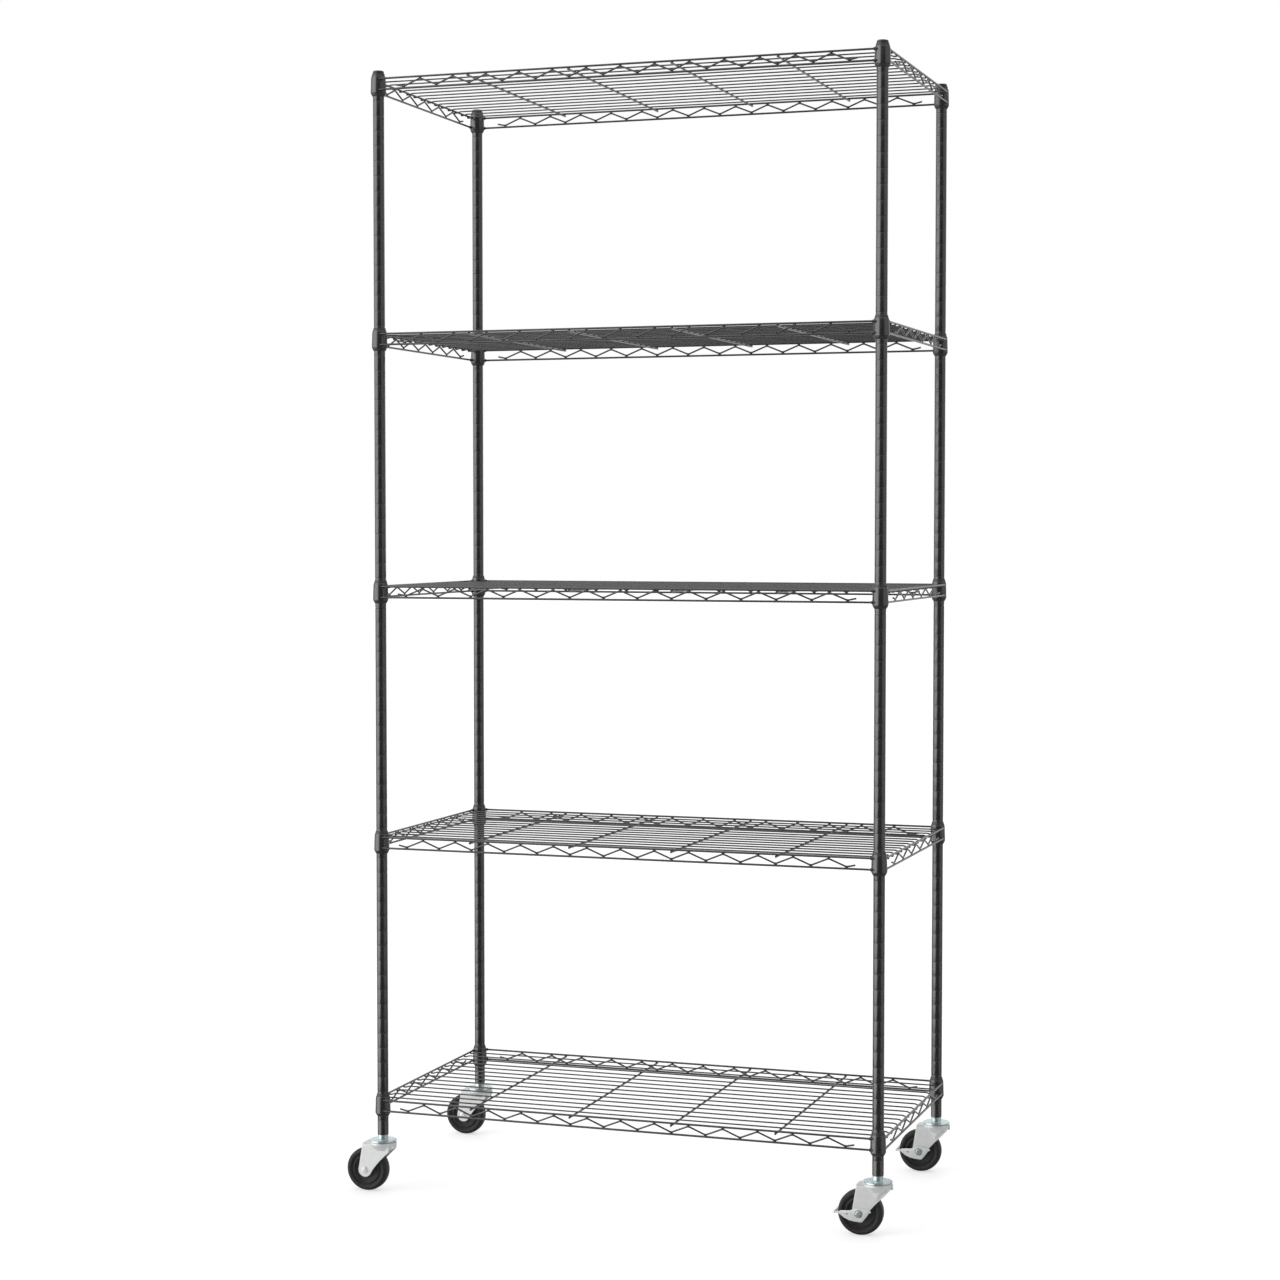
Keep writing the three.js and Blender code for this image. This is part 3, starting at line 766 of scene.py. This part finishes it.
def wheel():
    """Tyre with rounded shoulders, a grooved face, a web and a raised hub."""
    side = [(4.4, 12.4), (8.6, 12.4), (9.6, 11.8), (10.2, 8.6), (11.4, 7.6), (20.5, 7.4), (21.6, 8.4)]
    side += [(22.6, 9.2), (24.0, 9.2), (25.0, 8.2), (26.2, 7.6), (27.4, 8.0), (28.2, 9.6), (29.2, 10.3)]
    side += [(32.5, 10.5), (34.2, 10.1), (35.8, 9.0), (36.9, 7.2), (37.35, 4.5), (37.5, 2.0)]
    profile = [(radius, -y) for radius, y in side] + list(reversed(side))
    shell = lathe(profile, 72, ring=True)
    return Shells().add(shell, TURN_TO_Y).mesh("wheel", 50)


def hexagon_head(start, thickness, across=5.6):
    """A six-sided head with chamfered corners, along Z."""
    inner = across * 0.86
    profile = [(0, start), (across, start), (across, start + thickness * 0.75), (inner, start + thickness)]
    return lathe(profile + [(0, start + thickness)], 6)


def hole(x, z, radius, low, high, sides=14):
    """A round cutter along Y."""
    shell = lathe([(0, low), (radius, low), (radius, high), (0, high)], sides)
    return Shells().add(shell, Matrix.Translation((x, 0, z)) @ TURN_TO_Y).mesh("cutter")


def carved(mesh, *cutters, sharp_degrees=40):
    """The mesh with these closed cutters taken out of it."""
    for cutter in cutters:
        work = bpy.data.objects.new("carving", mesh)
        tool = bpy.data.objects.new("cutter", cutter)
        for thing in (work, tool):
            bpy.context.scene.collection.objects.link(thing)
        change = work.modifiers.new("cut", "BOOLEAN")
        change.operation = "DIFFERENCE"
        change.solver = "EXACT"
        change.object = tool
        graph = bpy.context.evaluated_depsgraph_get()
        result = bpy.data.meshes.new_from_object(work.evaluated_get(graph))
        for thing in (work, tool):
            bpy.data.objects.remove(thing)
        mesh = result
    mesh.shade_smooth()
    mesh.set_sharp_from_angle(angle=math.radians(sharp_degrees))
    return mesh


def bolted_axle():
    """Bolt, washers and nuts across the fork and the pedal plates."""
    face = FORK_HALF_WIDTH + 2.3
    shells = Shells()
    shaft = [(0, -face - 3.4), (3.2, -face - 3.4), (3.9, -face - 2.9), (3.9, face + 2.9), (3.2, face + 3.4)]
    shells.add(lathe(shaft + [(0, face + 3.4)], 24), TURN_TO_Y)
    washer = [(4.0, 0), (6.6, 0), (6.8, 0.2), (6.8, 0.5), (6.6, 0.7), (4.0, 0.7)]
    for sign in (-1, 1):
        flip = Matrix.Identity(4) if sign > 0 else Matrix.Rotation(math.pi, 4, "X")
        place = TURN_TO_Y @ flip @ Matrix.Translation((0, 0, face))
        shells.add(lathe(washer, 32, ring=True), place)
        shells.add(hexagon_head(0.7, 2.2), place)
    return shells.mesh("axle_bolted", 30)


def riveted_axle():
    """A rivet through the fork, with a round boss and a closed-over end on each side."""
    face = FORK_HALF_WIDTH
    side = [(6.4, face - 0.6), (6.4, face + 0.5), (6.1, face + 0.9), (4.6, face + 1.1), (4.3, face + 1.9)]
    side += [(3.6, face + 2.3), (2.2, face + 2.3), (1.7, face + 1.7), (0, face + 1.6)]
    profile = [(radius, -height) for radius, height in reversed(side)]
    shaft = [(3.9, 0.6 - face), (3.9, face - 0.6)]
    mesh = Shells().add(lathe(profile + shaft + side, 40), TURN_TO_Y).mesh("axle_riveted", 30)
    return carved(mesh, hole(2.6, 4.0, 1.15, -face - 3, -face + 0.3), sharp_degrees=30)


def pedal():
    """Two stamped side plates, each with a swaged line and a hole, joined by the foot bar."""
    inner = FORK_HALF_WIDTH + 0.35
    outer = inner + 1.9
    outline = [
        (-41.4, 1.3), (-41.4, -1.2), (-33.5, -1.4), (-30.5, -3.2), (-24.0, -8.0), (-16.0, -11.4),
        (-8.0, -12.8), (0.0, -13.4), (4.5, -13.6), (6.6, -12.4), (12.5, -5.0), (17.4, 2.2), (20.2, 3.0),
        (20.6, 5.0), (18.6, 7.0), (14.0, 8.2), (4.0, 9.0), (-4.0, 8.6), (-9.0, 7.4), (-14.0, 4.8),
        (-24.0, 4.3), (-30.0, 3.6), (-33.5, 1.5),
    ]
    swage = [(-27.0, 0, -2.2), (-21.0, 0, -5.4), (-14.0, 0, -8.4), (-5.0, 0, -10.2), (3.6, 0, -11.0)]
    shells = Shells()
    shells.add(plate(outline, -outer, -inner))
    shells.add(plate(outline, inner, outer))
    bar = [(-42.0, 1.5), (-42.0, -1.0), (-41.2, -1.5), (-39.2, -1.5), (-39.2, 1.5)]
    shells.add(plate(bar, -outer, outer, 0.4))
    for side in (-1, 1):
        shells.add(tube(bent(swage, 4.0), 0.7, 8), Matrix.Translation((0, side * (outer - 0.25), 0)))
    reach = outer + 3
    axle_hole = hole(0, 0, AXLE_HOLE, -reach, reach, 32)
    return carved(shells.mesh("pedal", 40), axle_hole, hole(-19.5, -1.6, 1.3, -reach, reach))


def build_casters():
    stem_mesh, race_mesh, balls = stem(), lower_race(), ball_race()
    wheel_mesh, pedal_mesh = wheel(), pedal()
    forks = {True: fork(True), False: fork(False)}
    top_mesh = fork_top()
    axles = {True: bolted_axle(), False: riveted_axle()}
    for corner in CORNERS:
        body = f"caster_{corner}"
        base = on_axis(corner)
        hub = AXLE_PLACE[corner]
        braked = corner in BRAKED
        add_piece(f"stem_and_cup_{corner}", stem_mesh, "zinc_disc", "rack", base, f"caster_stem_{corner}")
        add_piece(f"stamped_fork_{corner}", forks[braked], "zinc_fork", body, base, f"caster_fork_{corner}")
        add_piece(f"fork_top_{corner}", top_mesh, "zinc_fork", body, base, f"caster_fork_{corner}")
        add_piece(f"lower_race_{corner}", race_mesh, "zinc_disc", body, base)
        add_piece(f"ball_race_{corner}", balls, "zinc_nut", body, base)
        look = "zinc_disc" if braked else "zinc_fork"
        add_piece(f"axle_bolt_{corner}", axles[braked], look, body, hub, f"caster_axle_{corner}")
        add_piece(f"wheel_{corner}", wheel_mesh, "rubber", f"wheel_{corner}", hub, f"caster_wheel_{corner}")
        if braked:
            name = f"brake_pedal_{corner}"
            add_piece(f"stamped_{name}", pedal_mesh, "zinc_fork", f"brake_{corner}", hub, name)


# ---- surroundings ----

# Where the camera stands in metres, and how far it looks down and round in degrees.
CAMERA_PLACE = (1.44245, -4.2902, 1.1603)
CAMERA_DOWN = 2.606
CAMERA_ROUND = 18.869
CAMERA_LENS = 72.87
CAMERA_SENSOR = 36.0


def build_camera():
    data = bpy.data.cameras.new("camera")
    data.sensor_width = CAMERA_SENSOR
    data.lens = CAMERA_LENS
    camera = bpy.data.objects.new("camera", data)
    bpy.context.scene.collection.objects.link(camera)
    camera.location = CAMERA_PLACE
    camera.rotation_euler = (math.radians(90 - CAMERA_DOWN), 0, math.radians(CAMERA_ROUND))
    bpy.context.scene.camera = camera


def build_floor():
    """A pale floor that looks white, lights the rack from below and takes a soft shadow."""
    mesh = bpy.data.meshes.new("floor")
    half = 40.0
    corners = [(-half, -half, 0), (half, -half, 0), (half, half, 0), (-half, half, 0)]
    mesh.from_pydata(corners, [], [(0, 1, 2, 3)])
    floor = bpy.data.objects.new("floor", mesh)
    bpy.context.scene.collection.objects.link(floor)
    glow = {"Emission_Color": (1, 1, 1, 1), "Emission_Strength": 0.55}
    made, _, _ = material("floor_paper", (0.9, 0.9, 0.9), 1.0, **glow)
    mesh.materials.append(made)
    floor.visible_glossy = False


# Each studio panel: degrees round from the camera (left is negative), degrees up, width of its cone
# as the cosines where it starts and is full, and brightness.
PANELS = (
    (-74, 8, 0.72, 0.86, 1.5),
    (74, 8, 0.72, 0.86, 0.34),
    (180, 8, 0.30, 0.90, 0.8),
    (-20, 80, 0.35, 0.85, 0.4),
)
CAMERA_TURN = 18.8
DARK_ROOM = 0.045


def build_world():
    """White to look at. To light with, a dim room with soft panels left, right, behind and above."""
    world = bpy.data.worlds.new("studio")
    bpy.context.scene.world = world
    world.use_nodes = True
    tree = world.node_tree
    background = tree.nodes["Background"]
    direction = tree.nodes.new("ShaderNodeTexCoord").outputs["Generated"]
    total = tree.nodes.new("ShaderNodeValue").outputs[0]
    total.default_value = DARK_ROOM
    for around, up, edge, full, brightness in PANELS:
        turn = math.radians(CAMERA_TURN + around)
        flat = math.cos(math.radians(up))
        aim = (flat * math.sin(turn), -flat * math.cos(turn), math.sin(math.radians(up)))
        facing = tree.nodes.new("ShaderNodeVectorMath")
        facing.operation = "DOT_PRODUCT"
        facing.inputs[1].default_value = aim
        tree.links.new(direction, facing.inputs[0])
        panel = tree.nodes.new("ShaderNodeMapRange")
        panel.interpolation_type = "SMOOTHSTEP"
        panel.inputs["From Min"].default_value = edge
        panel.inputs["From Max"].default_value = full
        panel.inputs["To Max"].default_value = brightness
        tree.links.new(facing.outputs["Value"], panel.inputs["Value"])
        add = tree.nodes.new("ShaderNodeMath")
        add.operation = "ADD"
        tree.links.new(panel.outputs["Result"], add.inputs[0])
        tree.links.new(total, add.inputs[1])
        total = add.outputs["Value"]
    path = tree.nodes.new("ShaderNodeLightPath")
    shown = tree.nodes.new("ShaderNodeMix")
    shown.inputs["B"].default_value = 1.0
    tree.links.new(path.outputs["Is Camera Ray"], shown.inputs["Factor"])
    tree.links.new(total, shown.inputs["A"])
    tree.links.new(shown.outputs["Result"], background.inputs["Strength"])
    background.inputs["Color"].default_value = (1, 1, 1, 1)


def build_studio():
    build_floor()
    build_world()
    bpy.context.scene.view_settings.view_transform = "Standard"


build_camera()
build_posts()
build_shelves()
build_sleeves()
build_casters()
build_studio()
